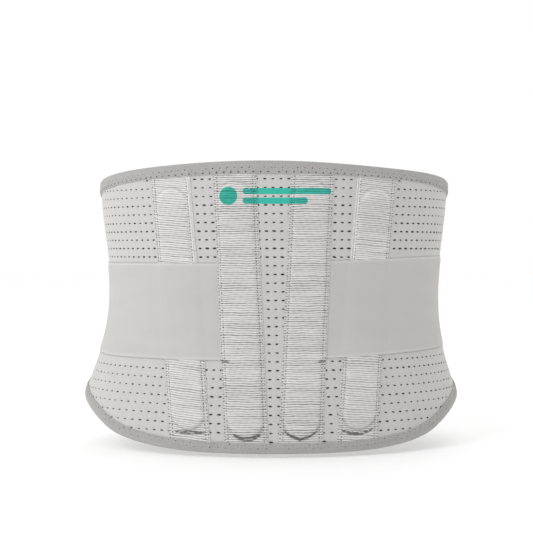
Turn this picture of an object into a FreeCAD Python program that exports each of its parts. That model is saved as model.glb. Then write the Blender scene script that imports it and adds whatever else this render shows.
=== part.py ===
import FreeCAD, Part
import math
import os

import Sketcher
from FreeCAD import Placement, Rotation, Vector

# Lumbar support belt, closed as it is worn. Origin: middle of the waist opening, at its narrowest level.
# +Z is up along the spine, -Y is the wearer's back, +Y the closure, +X the wearer's right-hand side.
# Everything is a thin layer of one worn shape, trimmed by outlines seen from the side or from behind.

DRIVING = {
    # half width and half depth of the knit's inner face, at seven levels from hips to ribs
    "level_1": -160, "wide_1": 175, "deep_1": 126,
    "level_2": -110, "wide_2": 169.5, "deep_2": 120,
    "level_3": -70, "wide_3": 158.5, "deep_3": 112.5,
    "level_4": -20, "wide_4": 148.8, "deep_4": 105.5,
    "level_5": 30, "wide_5": 149.6, "deep_5": 105.5,
    "level_6": 80, "wide_6": 156, "deep_6": 109.5,
    "level_7": 130, "wide_7": 163, "deep_7": 114,
    # the belt's edges seen from the side (y, z)
    "back_y": -130, "front_y": 120, "top_back_z": 108.5, "top_front_z": 66, "top_radius": 1643,
    "low_back_z": -139.6, "low_turn_y": -72, "low_turn_z": -123.5, "low_side_y": -15, "low_side_z": -101,
    "low_front_z": -67,
    # how far inside the rim the outlines run
    "rim": 0, "slot": 0.95, "knit_edge": 1.05, "band": 11, "inside_band": 11.3,
    # layers, outwards from the knit's inner face
    "bind_in": -0.9, "slot_in": -0.1, "knit_in": 0, "knit_out": 1.6, "over_knit": 1.7,
    "stay_in": 1.8, "bind_out": 2.5, "loop_out": 2.6, "base_in": 2.7, "stay_out": 2.95,
    "pocket_out": 3.05, "tape_out": 3.7, "strap_in": 3.8, "strap_out": 5,
    "hook_in": 2.95, "hook_out": 3.7, "grip_slot_out": 5.1, "grip_out": 5.8,
    # tapes over the stays, seen from behind
    "channel_top_z": 108, "centre_top_x": 33.4, "centre_lean": 0.046, "centre_wide": 36.5,
    "outer_top_x": 89.2, "outer_lean": 0.082, "outer_wide": 34.5,
    "centre_stay_wide": 28.5, "centre_stay_top_z": 78, "centre_stay_low_z": -112,
    "outer_stay_wide": 26.5, "outer_stay_top_z": 74, "outer_stay_low_z": -107,
    "stay_round": 14.6, "pocket_clear": 0.4, "tape_clear": 0.4,
    # compression straps and their front tabs
    "strap_top_z": 21, "strap_low_z": -61, "strap_lean": 0.04,
    "tab_root_x": 110, "tab_end_x": 54, "tab_corner": 16, "grip_x": 68, "grip_over": 1, "grip_clear": 0.1,
    "hook_margin": 5,
    # closure at the front
    "fold_y": 25, "fold_gap": 0.8, "end_x": 2, "end_corner": 30, "corner_top_z": 74, "corner_low_z": -75,
    "loop_far_x": 142, "closing_base_x": -48, "closing_root_x": -30, "closing_end_x": 45,
    "closing_half_high": 50, "closing_hook_x": 14, "closing_edging": 8, "root_gap": 0.8,
}
REACH = 300.0  # half the size of the blocks and outlines that only trim
SIDES = {"left": -1, "right": 1}

doc = FreeCAD.newDocument("lumbar_belt")
sheet = doc.addObject("Spreadsheet::Sheet", "params")
sheet_rows = {}


def add_dimension(alias, value):
    row = sheet_rows.setdefault(alias, len(sheet_rows) + 1)
    sheet.set(f"A{row}", alias)
    sheet.set(f"B{row}", str(value))
    sheet.setAlias(f"B{row}", alias)


def number(expression):
    """What an expression on the sheet's cells comes to."""
    return float(sheet.evalExpression(expression))


# ---------------------------------------------------------------- small helpers around document objects
def make(kind, name, **properties):
    thing = doc.addObject(kind, name)
    for key, value in properties.items():
        setattr(thing, key, value)
    return thing


def cut(name, base, *tools):
    for n, tool in enumerate(tools, start=1):
        base = make("Part::Cut", f"{name}_{n}", Base=base, Tool=tool)
    return base


def common(name, *shapes):
    return make("Part::MultiCommon", name, Shapes=list(shapes))


def once(build):
    """Keeps what a builder made, so that pieces can share it."""
    made = {}

    def kept(*key):
        if key not in made:
            made[key] = build(*key)
        return made[key]

    return kept


# ---------------------------------------------------------------- the worn shape and its layers
@once
def form(layer):
    """Solid whose side is the worn shape, moved outwards to one layer."""
    rings = []
    for n in range(1, 8):
        ring = make("Part::Ellipse", f"ring_{layer}_{n}")
        ring.setExpression("MajorRadius", f"params.wide_{n} + params.{layer}")
        ring.setExpression("MinorRadius", f"params.deep_{n} + params.{layer}")
        ring.setExpression("Placement.Base.z", f"params.level_{n}")
        rings.append(ring)
    return make("Part::Loft", f"form_{layer}", Sections=rings, Solid=True, Ruled=False)


@once
def shell(inner, outer):
    """The space between two layers, all the way round."""
    return cut(f"shell_{inner}_{outer}", form(outer), form(inner))


# ---------------------------------------------------------------- outlines
class Outline:
    """A closed sketch drawn edge by edge. A place is a pair of expressions on the sheet's cells."""

    def __init__(self, name, across, up):
        self.name = name
        self.sketch = make("Sketcher::SketchObject", f"{name}_sketch")
        self.sketch.Placement = Placement(Vector(), Rotation(across, up, across.cross(up)))
        self.began = None
        self.first = None
        self.last = None

    def add(self, edge, start, end, ends=(1, 2)):
        """Adds an edge. ends are the numbers of its own start and end points, in drawing order."""
        index = self.sketch.addGeometry(edge)
        if self.last is None:
            self.began, self.first = start, (index, ends[0])
            self.pin(self.first, start)
        else:
            self.sketch.addConstraint(Sketcher.Constraint("Coincident", *self.last, index, ends[0]))
        self.last = (index, ends[1])
        if end == self.began:
            self.sketch.addConstraint(Sketcher.Constraint("Coincident", *self.last, *self.first))
        else:
            self.pin(self.last, end)
        return index

    def pin(self, vertex, place):
        for kind, expression in zip(("DistanceX", "DistanceY"), place):
            held = self.sketch.addConstraint(Sketcher.Constraint(kind, -1, 1, *vertex, number(expression)))
            self.sketch.setExpression(f"Constraints[{held}]", expression)

    def lines(self, *places):
        for start, end in zip(places, places[1:]):
            self.add(Part.LineSegment(point(start), point(end)), start, end)

    def arc(self, start, end, radius, turn):
        """An arc of under half a circle. turn is +1 where it runs anticlockwise and -1 where clockwise."""
        a, b, r = point(start), point(end), number(radius)
        half = (b - a) * 0.5
        left = Vector(-half.y, half.x, 0).normalize()
        centre = a + half + left * (turn * math.sqrt(r * r - half.Length**2))
        low, high = (math.atan2(p.y - centre.y, p.x - centre.x) for p in (a, b)[::turn])
        if high < low:
            high += 2 * math.pi
        edge = Part.ArcOfCircle(Part.Circle(centre, Vector(0, 0, 1), r), low, high)
        index = self.add(edge, start, end, (1, 2)[::turn])
        held = self.sketch.addConstraint(Sketcher.Constraint("Radius", index, r))
        self.sketch.setExpression(f"Constraints[{held}]", radius)

    def prism(self):
        """The closed outline pushed both ways through everything."""
        return make(
            "Part::Extrusion", self.name, Base=self.sketch, DirMode="Normal",
            LengthFwd=2 * REACH, Symmetric=True, Solid=True,
        )


def point(place):
    return Vector(number(place[0]), number(place[1]), 0)


def from_side(name):
    return Outline(name, Vector(0, 1, 0), Vector(0, 0, 1))


def from_behind(name):
    return Outline(name, Vector(1, 0, 0), Vector(0, 0, 1))


def continue_smoothly(alias, start, way, end):
    """Puts on the sheet the radius of the arc that leaves start in a direction and reaches end."""
    chord = end - start
    turn = math.degrees(math.atan2(chord.y, chord.x)) - way
    add_dimension(alias, round(chord.Length / (2 * math.sin(math.radians(abs(turn)))), 3))
    return way + 2 * turn


def smooth_lower_edge():
    """The lower edge is three arcs. The first leaves the back level and the others run on from it."""
    back, turn, side, front = (
        point((f"params.{y}", f"params.{z}"))
        for y, z in (
            ("back_y", "low_back_z"),
            ("low_turn_y", "low_turn_z"),
            ("low_side_y", "low_side_z"),
            ("front_y", "low_front_z"),
        )
    )
    way = continue_smoothly("low_back_radius", back, 0, turn)
    way = continue_smoothly("low_side_radius", turn, way, side)
    continue_smoothly("low_front_radius", side, way, front)
    doc.recompute()


@once
def between_edges(inset):
    """The belt's side view, from its lower to its upper edge, moved inwards by one inset."""

    def low(y, z):
        return (f"params.{y}", f"params.{z} + params.{inset}")

    def top(y, z):
        return (f"params.{y}", f"params.{z} - params.{inset}")

    low_back, low_turn = low("back_y", "low_back_z"), low("low_turn_y", "low_turn_z")
    low_side, low_front = low("low_side_y", "low_side_z"), low("front_y", "low_front_z")
    top_front, top_back = top("front_y", "top_front_z"), top("back_y", "top_back_z")
    shape = from_side(f"between_edges_{inset}")
    shape.arc(low_back, low_turn, "params.low_back_radius", 1)
    shape.arc(low_turn, low_side, "params.low_side_radius", -1)
    shape.arc(low_side, low_front, "params.low_front_radius", -1)
    shape.lines(low_front, top_front)
    shape.arc(top_front, top_back, "params.top_radius", 1)
    shape.lines(top_back, low_back)
    return shape.prism()


@once
def wing_outline(side, inset):
    """Outline of one wing with its rounded end at the closure, moved inwards by one inset."""
    sign = SIDES[side]
    end = f"{sign} * (params.end_x + params.{inset})"
    turn = f"{sign} * (params.end_x + params.end_corner)"
    radius = f"params.end_corner - params.{inset}"
    top, low = f"params.corner_top_z - params.{inset}", f"params.corner_low_z + params.{inset}"
    top_start = "params.corner_top_z - params.end_corner"
    low_start = "params.corner_low_z + params.end_corner"
    far_low, far_top = (f"{sign * REACH}", f"{-REACH}"), (f"{sign * REACH}", f"{REACH}")
    shape = from_behind(f"wing_{side}_{inset}")
    shape.lines(far_low, far_top, (turn, f"{REACH}"), (turn, top))
    shape.arc((turn, top), (end, top_start), radius, sign)
    shape.lines((end, top_start), (end, low_start))
    shape.arc((end, low_start), (turn, low), radius, sign)
    shape.lines((turn, low), (turn, f"{-REACH}"), far_low)
    return shape.prism()


def block(name, x, y, z):
    """A box between pairs of expressions along X, Y and Z."""
    box = make("Part::Box", name)
    for length, axis, (low, high) in zip(("Length", "Width", "Height"), "xyz", (x, y, z)):
        box.setExpression(f"Placement.Base.{axis}", low)
        box.setExpression(length, f"({high}) - ({low})")
    return box


THROUGH = (f"{-REACH}", f"{REACH}")


@once
def behind_folds():
    """Everything behind the two side folds."""
    return block("behind_folds", THROUGH, (f"{-REACH}", "params.fold_y - params.fold_gap / 2"), THROUGH)


@once
def before_folds():
    """Everything in front of the two side folds."""
    return block("before_folds", THROUGH, ("params.fold_y + params.fold_gap / 2", f"{REACH}"), THROUGH)


@once
def rear_half():
    return block("rear_half", THROUGH, (f"{-REACH}", "0"), THROUGH)


def outward(side, near, far):
    """A range of X on one side, from two distances from the middle."""
    return (near, far) if SIDES[side] > 0 else (f"-({far})", f"-({near})")


pieces = []


def piece(label, shape):
    """A finished piece: its label names its file."""
    shape.Label = label
    pieces.append(shape)


# ---------------------------------------------------------------- knit panels and their bindings
def panels():
    knit = shell("knit_in", "knit_out")
    edges = between_edges("knit_edge")
    piece("back_panel", common("back_knit", knit, edges, behind_folds()))
    for side in SIDES:
        wing = wing_outline(side, "knit_edge")
        piece(f"{side}_wing_panel", common(f"{side}_knit", knit, edges, wing, before_folds()))


def bindings():
    """Tape folded over the edges: a thick rim, less the slot that the knit fills."""
    thick = shell("bind_in", "bind_out")
    slot = shell("slot_in", "over_knit")
    frame = cut("edge_frame", between_edges("rim"), between_edges("band"))
    for edge, height in (("top", ("0", f"{REACH}")), ("bottom", (f"{-REACH}", "0"))):
        half = block(f"{edge}_half", THROUGH, THROUGH, height)
        rim = common(f"back_{edge}_rim", thick, common(f"{edge}_frame", frame, behind_folds(), half))
        knit = common(f"back_{edge}_slot", slot, common(f"{edge}_knit", between_edges("slot"), half))
        piece(f"back_{edge}_binding", cut(f"back_{edge}", rim, knit))
    for side in SIDES:
        rim_outline, slot_outline, middle = (
            common(f"{side}_{inset}_outline", between_edges(inset), wing_outline(side, inset), before_folds())
            for inset in ("rim", "slot", "band")
        )
        rim = common(f"{side}_rim", thick, cut(f"{side}_frame", rim_outline, middle))
        knit = common(f"{side}_slot", slot, slot_outline)
        piece(f"{side}_wing_binding", cut(f"{side}_wing_edge", rim, knit))


# ---------------------------------------------------------------- stays and the tapes that hold them
def leaning_x(side, row, z, reach):
    """X of a stay row's middle line at a height, plus a distance outwards."""
    middle = f"params.{row}_top_x - params.{row}_lean * (params.channel_top_z - ({z}))"
    return f"{SIDES[side]} * ({middle} + ({reach}))"


def tape_outline(side, row):
    half, low, high = f"params.{row}_wide / 2", f"{-REACH / 2}", f"{REACH / 2}"
    corners = [
        (leaning_x(side, row, z, reach), z)
        for z, reach in ((low, f"-{half}"), (high, f"-{half}"), (high, half), (low, half))
    ]
    shape = from_behind(f"{row}_{side}_tape")
    shape.lines(*corners, corners[0])
    return shape.prism()


def stay_outline(name, side, row, clear):
    """A leaning strip with two rounded ends, larger all round by a clearance."""
    half = f"params.{row}_stay_wide / 2 + {clear}"
    radius = f"params.stay_round + {clear}"
    top, low = f"params.{row}_stay_top_z", f"params.{row}_stay_low_z"
    low_in, top_in, top_out, low_out = (
        (leaning_x(side, row, z, reach), z)
        for z, reach in ((low, f"-({half})"), (top, f"-({half})"), (top, half), (low, half))
    )
    shape = from_behind(name)
    shape.lines(low_in, top_in)
    shape.arc(top_in, top_out, radius, -SIDES[side])
    shape.lines(top_out, low_out)
    shape.arc(low_out, low_in, radius, -SIDES[side])
    return shape.prism()


def channel(side, row):
    """One stay and the ribbed tape that is sewn over it as a pocket."""
    name = f"{row}_{side}"
    edges = between_edges("inside_band")
    strip = common(f"{name}_strip", shell("over_knit", "tape_out"), tape_outline(side, row), edges, rear_half())
    room = stay_outline(f"{name}_room", side, row, "params.pocket_clear")
    pocket = common(f"{name}_pocket", shell("over_knit", "pocket_out"), room, rear_half())
    piece(f"{name}_channel", cut(f"{name}_tape", strip, pocket))
    bar = stay_outline(f"{name}_bar", side, row, "0")
    piece(f"{name}_stay", common(f"{name}_steel", shell("stay_in", "stay_out"), bar, rear_half()))


# ---------------------------------------------------------------- compression straps and their tabs
def strap_z(side, edge, x):
    """Height of a strap's edge at a distance from the middle. The right strap climbs towards the side."""
    lean = "params.strap_lean" if side == "right" else "0"
    return f"params.strap_{edge}_z + {lean} * ({x})"


def strap_outline(side):
    """A compression strap from the centre tape's outer edge outwards."""
    beside_tape = "params.centre_wide / 2 + params.tape_clear"
    inner, far = "params.centre_top_x + params.centre_wide / 2", f"{REACH}"
    low_in, top_in = (
        (leaning_x(side, "centre", strap_z(side, edge, inner), beside_tape), strap_z(side, edge, inner))
        for edge in ("low", "top")
    )
    low_out, top_out = ((f"{SIDES[side] * REACH}", strap_z(side, edge, far)) for edge in ("low", "top"))
    shape = from_behind(f"{side}_strap_outline")
    shape.lines(low_in, top_in, top_out, low_out, low_in)
    return shape.prism()


def tab_outline(name, root, end, low, top, corner):
    """A tab with two rounded corners at its free end. root and end are positions along X."""
    way = 1 if number(end) > number(root) else -1
    before_corner = f"{end} - {way} * ({corner})"
    low_corner, top_corner = f"{low} + ({corner})", f"{top} - ({corner})"
    shape = from_behind(name)
    shape.lines((root, low), (root, top), (before_corner, top))
    shape.arc((before_corner, top), (end, top_corner), corner, -way)
    shape.lines((end, top_corner), (end, low_corner))
    shape.arc((end, low_corner), (before_corner, low), corner, -way)
    shape.lines((before_corner, low), (root, low))
    return shape.prism()


def strap(side):
    """A strap in two lengths, either side of the fold, and its front tab with hooks and a folded grip."""
    band, outline, front = shell("strap_in", "strap_out"), strap_outline(side), before_folds()
    piece(f"{side}_strap_back", common(f"{side}_rear_strap", band, outline, behind_folds()))
    beyond_tab = outward(side, "params.tab_root_x + params.root_gap", f"{REACH}")
    reach = block(f"{side}_strap_reach", beyond_tab, THROUGH, THROUGH)
    piece(f"{side}_strap_front", common(f"{side}_fore_strap", band, outline, front, reach))

    low, top = (strap_z(side, edge, "params.tab_root_x") for edge in ("low", "top"))
    root, end = (f"{SIDES[side]} * params.{x}" for x in ("tab_root_x", "tab_end_x"))
    tab = tab_outline(f"{side}_tab", root, end, low, top, "params.tab_corner")
    piece(f"{side}_strap_tab", common(f"{side}_tab_band", band, tab, front))

    hook_x = outward(side, "params.grip_x + params.root_gap", "params.tab_root_x - params.hook_margin")
    hook_z = (f"{low} + params.hook_margin", f"{top} - params.hook_margin")
    area = block(f"{side}_hook_area", hook_x, THROUGH, hook_z)
    piece(f"{side}_strap_hook", common(f"{side}_hook_pad", shell("hook_in", "hook_out"), area, front))

    def around_tab(name, over):
        tip = f"{SIDES[side]} * (params.tab_end_x - {over})"
        return tab_outline(name, root, tip, f"{low} - {over}", f"{top} + {over}", f"params.tab_corner + {over}")

    near_tip = block(f"{side}_tip_area", outward(side, "0", "params.grip_x"), THROUGH, THROUGH)
    whole = around_tab(f"{side}_grip_outline", "params.grip_over")
    fold = common(f"{side}_grip_fold", shell("hook_in", "grip_out"), whole, near_tip, front)
    room = common(
        f"{side}_grip_room",
        shell("hook_out", "grip_slot_out"),
        around_tab(f"{side}_grip_slot", "params.grip_clear"),
    )
    piece(f"{side}_strap_grip", cut(f"{side}_grip", fold, room))


# ---------------------------------------------------------------- closure at the front
def loop_panels():
    for side in SIDES:
        reach = block(f"{side}_loop_reach", outward(side, "0", "params.loop_far_x"), THROUGH, THROUGH)
        outline = common(f"{side}_loop_outline", between_edges("inside_band"), wing_outline(side, "inside_band"))
        loops = common(f"{side}_loops", shell("over_knit", "loop_out"), outline, reach, before_folds())
        piece(f"{side}_loop_panel", loops)


def closing_tab():
    """The tab that holds the wings together: a sewn base on the left wing, and a free part with hooks."""
    front = before_folds()
    low, top = "-params.closing_half_high", "params.closing_half_high"
    root, end = "params.closing_root_x", "params.closing_end_x"
    sewn = block("closing_sewn", ("params.closing_base_x", f"{root} - params.root_gap"), THROUGH, (low, top))
    piece("closing_tab_base", common("closing_base", shell("base_in", "strap_out"), sewn, front))
    free = tab_outline("closing_outline", root, end, low, top, "params.tab_corner")
    piece("closing_tab", common("closing_band", shell("strap_in", "strap_out"), free, front))
    hook_x = ("params.closing_hook_x", f"{end} - params.closing_edging")
    hook_z = (f"{low} + params.closing_edging", f"{top} - params.closing_edging")
    area = block("closing_hook_area", hook_x, THROUGH, hook_z)
    piece("closing_tab_hook", common("closing_hooks", shell("hook_in", "hook_out"), area, front))


# ---------------------------------------------------------------- build, check and write
for alias, value in DRIVING.items():
    add_dimension(alias, value)
doc.recompute()
smooth_lower_edge()
panels()
bindings()
for row in ("centre", "outer"):
    for side in SIDES:
        channel(side, row)
for side in SIDES:
    strap(side)
loop_panels()
closing_tab()
doc.recompute()

failed = [thing.Name for thing in doc.Objects if {"Invalid", "Error"} & set(thing.State)]
if failed:
    raise RuntimeError(f"objects that did not compute: {failed}")
for made in pieces:
    if made.Shape.isNull() or not made.Shape.isValid() or len(made.Shape.Solids) != 1:
        raise RuntimeError(f"{made.Label} is not one valid solid")
os.makedirs("parts", exist_ok=True)
for made in pieces:
    made.Shape.Solids[0].exportStep(f"parts/{made.Label}.step")
    box = made.Shape.optimalBoundingBox()
    print(
        f"{made.Label:22s} {made.Shape.Volume / 1000:7.2f} cm3  x {box.XMin:7.1f} {box.XMax:7.1f}"
        f"  y {box.YMin:7.1f} {box.YMax:7.1f}  z {box.ZMin:7.1f} {box.ZMax:7.1f}"
    )
print(len(pieces), "pieces")
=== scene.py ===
"""The looks of the lumbar support belt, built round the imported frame.

Shapes are worked out in millimetres on one worn surface, and scaled to metres when a mesh is made. A place
on the surface is (u, z, out): u is the way round from the spine, measured at the waist and positive towards
+X, z is the height, and out is the distance outwards from the knit's inner face.
"""

import math

import bpy
import numpy as np
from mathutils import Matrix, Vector


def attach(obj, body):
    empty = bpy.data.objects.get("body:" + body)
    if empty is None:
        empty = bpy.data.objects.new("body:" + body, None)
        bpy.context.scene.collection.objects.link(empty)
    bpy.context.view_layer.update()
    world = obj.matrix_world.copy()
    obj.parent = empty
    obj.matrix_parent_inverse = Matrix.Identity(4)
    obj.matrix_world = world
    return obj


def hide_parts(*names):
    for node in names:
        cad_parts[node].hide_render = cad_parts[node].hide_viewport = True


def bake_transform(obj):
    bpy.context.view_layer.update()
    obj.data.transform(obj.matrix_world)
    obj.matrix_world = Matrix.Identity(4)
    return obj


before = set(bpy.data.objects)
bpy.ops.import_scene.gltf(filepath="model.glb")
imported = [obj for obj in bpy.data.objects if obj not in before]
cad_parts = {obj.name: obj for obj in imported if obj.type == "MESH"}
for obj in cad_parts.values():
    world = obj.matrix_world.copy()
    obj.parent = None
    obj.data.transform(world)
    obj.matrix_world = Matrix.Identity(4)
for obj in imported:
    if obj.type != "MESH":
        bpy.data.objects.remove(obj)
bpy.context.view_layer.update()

MM = 0.001
SIDES = {"left": -1, "right": 1}
random = np.random.default_rng(11)

# ---------------------------------------------------------------- the worn shape, as in the CAD model
LEVELS = np.array([-160, -110, -70, -20, 30, 80, 130.0])
HALF_WIDTHS = np.array([175, 169.5, 158.5, 148.8, 149.6, 156, 163.0])
HALF_DEPTHS = np.array([126, 120, 112.5, 105.5, 105.5, 109.5, 114.0])
BACK_Y, FRONT_Y = -130.0, 120.0
TOP_BACK_Z, TOP_FRONT_Z, TOP_RADIUS = 108.5, 66.0, 1643.0
LOW_LIFT = 2.4  # in the photo the lower rim rolls in a little above the CAD model's edge
LOW_POINTS = [(y, z + LOW_LIFT) for y, z in ((BACK_Y, -139.6), (-72, -123.5), (-15, -101), (FRONT_Y, -67))]
BINDING_HIGH, LOW_BINDING_HIGH = 11.0, 9.0
KNIT_IN, KNIT_OUT = 0.1, 1.6
MID_OUT = 2.0  # where the cloth's length round the body is measured
# how the stay tapes lie: x of the middle line at channel height, lean inwards per mm down, width along x
CHANNEL_Z = 108.0
TAPES = {"centre": (33.4, 0.046, 36.5), "outer": (89.2, 0.082, 34.5)}
STAYS = {"centre": (28.5, 89.0, -123.5), "outer": (26.5, 84.0, -117.5)}  # width, and its ends' heights
STRAP_TOP, STRAP_LOW, STRAP_LEAN = 21.0, -61.0, 0.04
STRAP_HIGH = STRAP_TOP - STRAP_LOW
END_GAP, END_CORNER, CORNER_TOP, CORNER_LOW = 2.0, 30.0, 74.0, -75.0


def natural_spline(x, y):
    """A smooth curve through points, straight at its two ends."""
    h = np.diff(x)
    matrix, right = np.eye(len(x)), np.zeros(len(x))
    for i in range(1, len(x) - 1):
        matrix[i, i - 1 : i + 2] = h[i - 1], 2 * (h[i - 1] + h[i]), h[i]
        right[i] = 6 * ((y[i + 1] - y[i]) / h[i] - (y[i] - y[i - 1]) / h[i - 1])
    bend = np.linalg.solve(matrix, right)

    def at(t):
        k = np.clip(np.searchsorted(x, t) - 1, 0, len(h) - 1)
        after, before, width = x[k + 1] - t, t - x[k], h[k]
        cubic = (bend[k] * after**3 + bend[k + 1] * before**3) / (6 * width)
        start = (y[k] / width - bend[k] * width / 6) * after
        return cubic + start + (y[k + 1] / width - bend[k + 1] * width / 6) * before

    return at


half_width = natural_spline(LEVELS, HALF_WIDTHS)
half_depth = natural_spline(LEVELS, HALF_DEPTHS)

turns = np.linspace(0, math.pi, 4001)
waist_x, waist_y = half_width(0.0) + MID_OUT, half_depth(0.0) + MID_OUT
steps = np.hypot(waist_x * np.cos(turns), waist_y * np.sin(turns)) * turns[1]
ways_round = np.concatenate([[0], np.cumsum((steps[1:] + steps[:-1]) / 2)])
HALF_ROUND = float(ways_round[-1])
U_END = HALF_ROUND - END_GAP


def smooth(value):
    """0 below 0, 1 above 1, and smooth between."""
    value = np.clip(value, 0, 1)
    return value * value * (3 - 2 * value)


def bell(value, middle, width):
    """1 at the middle, falling to nothing a few widths away."""
    return np.exp(-(((value - middle) / width) ** 2))


def reach_along(line):
    """Length of a line from its start to each of its points."""
    return np.concatenate([[0], np.cumsum(np.hypot(*np.diff(line, axis=0).T))])


def unit(vectors):
    """Vectors scaled to length 1, a row each."""
    return vectors / (np.linalg.norm(vectors, axis=1, keepdims=True) + 1e-9)


def turn_at(u):
    """Angle round the ellipse, from the spine, at a way round."""
    return np.sign(u) * np.interp(np.abs(u), ways_round, turns)


# the belt in the photo isn't quite symmetrical: how far its sides stand out from the CAD model's, by height,
# and how far its upper rim lies below the CAD model's, by x
SIDE_Z = np.array([-140, -110, -85, -65, -45, 0, 40, 75, 95, 120.0])
LEFT_OUT = np.array([4.6, 4.6, 3.7, 2.2, 0.7, 0.3, 1.2, 0.7, -1.1, -1.3])
RIGHT_OUT = np.array([1.5, 0.4, -0.6, -0.9, -0.8, 1.0, 2.2, 1.5, 0.1, 0.0])
RIM_X = np.array([-165, -106, -60, 0, 50, 103, 137, 165.0])
RIM_DROP = np.array([0.3, 1.0, 0.4, 0.1, 1.2, 2.3, 1.6, 0.3])
left_out, right_out = natural_spline(SIDE_Z, LEFT_OUT), natural_spline(SIDE_Z, RIGHT_OUT)
rim_drop = natural_spline(RIM_X, RIM_DROP)


def settled(points):
    """Points moved by the small differences between the worn belt's two sides."""
    x, z = points[..., 0], points[..., 2]
    out = np.where(x < 0, left_out(z), right_out(z)) * smooth((np.abs(x) - 100) / 45)
    drop = rim_drop(x) * smooth((z - 88) / 18)
    return np.stack([x + np.sign(x) * out, points[..., 1], z - drop], -1)


def together(*values):
    """Values as arrays of one shape."""
    return np.broadcast_arrays(*(np.asarray(value, float) for value in values))


def surface(u, z, out):
    """Points at ways round, heights and distances outwards."""
    u, z, out = together(u, z, out)
    turn, wide, deep = turn_at(u), half_width(z) + out, half_depth(z) + out
    return settled(np.stack([wide * np.sin(turn), -deep * np.cos(turn), z], -1))


def front_surface(x, z, out):
    """Points of the front half at given x, heights and distances outwards."""
    x, z, out = together(x, z, out)
    a, b = half_width(z) + out, half_depth(z) + out
    return settled(np.stack([x, b * np.sqrt(np.clip(1 - (x / a) ** 2, 0, 1)), z], -1))


def u_at_x(x, z, front=False):
    """The way round to the point of the rear half, or the front half, with a given x."""
    turn = np.arcsin(np.clip(np.abs(x) / (half_width(z) + MID_OUT), 0, 1))
    if front:
        turn = math.pi - turn
    return np.sign(x) * np.interp(turn, turns, ways_round)


def arcs_through(points, way):
    """Dense points along arcs that run smoothly into each other. way is the first direction, in radians."""
    found = [points[0]]
    for start, end in zip(points, points[1:]):
        chord = np.subtract(end, start)
        turn = math.atan2(chord[1], chord[0]) - way
        for share in np.linspace(0.02, 1, 50):
            reach = np.hypot(*chord) * math.sin(turn * share) / math.sin(turn)
            angle = way + turn * share
            found.append((start[0] + reach * math.cos(angle), start[1] + reach * math.sin(angle)))
        way += 2 * turn
    return np.array(found)


top_chord = np.array([FRONT_Y - BACK_Y, TOP_FRONT_Z - TOP_BACK_Z])
top_way = math.atan2(top_chord[1], top_chord[0]) + math.asin(np.hypot(*top_chord) / 2 / TOP_RADIUS)
EDGES = {
    "top": arcs_through([(BACK_Y, TOP_BACK_Z), (FRONT_Y, TOP_FRONT_Z)], top_way),
    "low": arcs_through(LOW_POINTS, 0.0),
}
edge_u = np.linspace(0, HALF_ROUND, 1500)
edge_z = {}
for edge, line in EDGES.items():
    edge_z[edge] = np.zeros_like(edge_u)
    for _ in range(30):
        y = -(half_depth(edge_z[edge]) + 1) * np.cos(turn_at(edge_u))
        edge_z[edge] = np.interp(y, line[:, 0], line[:, 1])


def edge_at(u, inset, edge, corner_z, way):
    """Height of the belt's edge, or of a line inside it, with the wing's rounded corner. way is inwards."""
    u = np.abs(u)
    radius = END_CORNER - inset
    across = np.clip(1 - (U_END - inset - u) / radius, 0, 1)
    corner = corner_z + way * (END_CORNER - radius * np.sqrt(1 - across**2))
    line = np.interp(u, edge_u, edge_z[edge]) + way * inset
    return np.where(across > 0, way * np.maximum(way * line, way * corner), line)


def top_z(u, inset=0.0):
    return edge_at(u, inset, "top", CORNER_TOP, -1)


def low_z(u, inset=0.0):
    return edge_at(u, inset, "low", CORNER_LOW, 1)


def x_at(u, z):
    """Distance sideways of the place at a way round."""
    return (half_width(z) + MID_OUT) * np.sin(turn_at(u))


def tape_middle(row, z):
    """x of a stay tape's middle line at a height, on the right."""
    top_x, lean, _ = TAPES[row]
    return top_x - lean * (CHANNEL_Z - z)


# ---------------------------------------------------------------- meshes
SHEET_EDGE = 0.35  # how far a sheet's rounded edge stands out, in thicknesses
BAND_SHARP, KNIT_SHARP = 70, 60  # edges sharper than this many degrees stay sharp
STITCH_SIDES = 5
SEAM_PITCH = 2.9


def make_object(name, points, faces, uvs, materials, face_slots=None, sharp=None):
    """A mesh from points in millimetres. uvs has one pair per point, in millimetres too."""
    mesh = bpy.data.meshes.new(name)
    mesh.from_pydata((np.asarray(points) * MM).tolist(), [], [list(map(int, f)) for f in faces])
    layer = mesh.uv_layers.new(name="cloth")
    corners = np.zeros(len(mesh.loops), np.int32)
    mesh.loops.foreach_get("vertex_index", corners)
    layer.data.foreach_set("uv", (np.asarray(uvs)[corners] * MM).astype(np.float32).ravel())
    for material in materials:
        mesh.materials.append(material)
    if face_slots is not None:
        mesh.polygons.foreach_set("material_index", np.asarray(face_slots, np.int32))
    mesh.shade_smooth()
    if sharp is not None:
        mesh.set_sharp_from_angle(angle=math.radians(sharp))
    mesh.validate()
    return add_object(name, mesh)


def add_object(name, data):
    obj = bpy.data.objects.new(name, data)
    bpy.context.scene.collection.objects.link(obj)
    return obj


def set_values(piece, name, values):
    """Gives a piece's first points a value each, which its material reads, and the others 0."""
    padded = np.zeros(len(piece.data.vertices), np.float32)
    padded[: values.size] = values.ravel()
    piece.data.attributes.new(name, "FLOAT", "POINT").data.foreach_set("value", padded)


def grid_faces(rows, columns, start=0, flip=False):
    i, j = np.meshgrid(np.arange(rows - 1), np.arange(columns - 1), indexing="ij")
    a = (start + i * columns + j).ravel()
    faces = np.stack([a, a + columns, a + columns + 1, a + 1], -1)
    return faces[:, ::-1] if flip else faces


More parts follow.
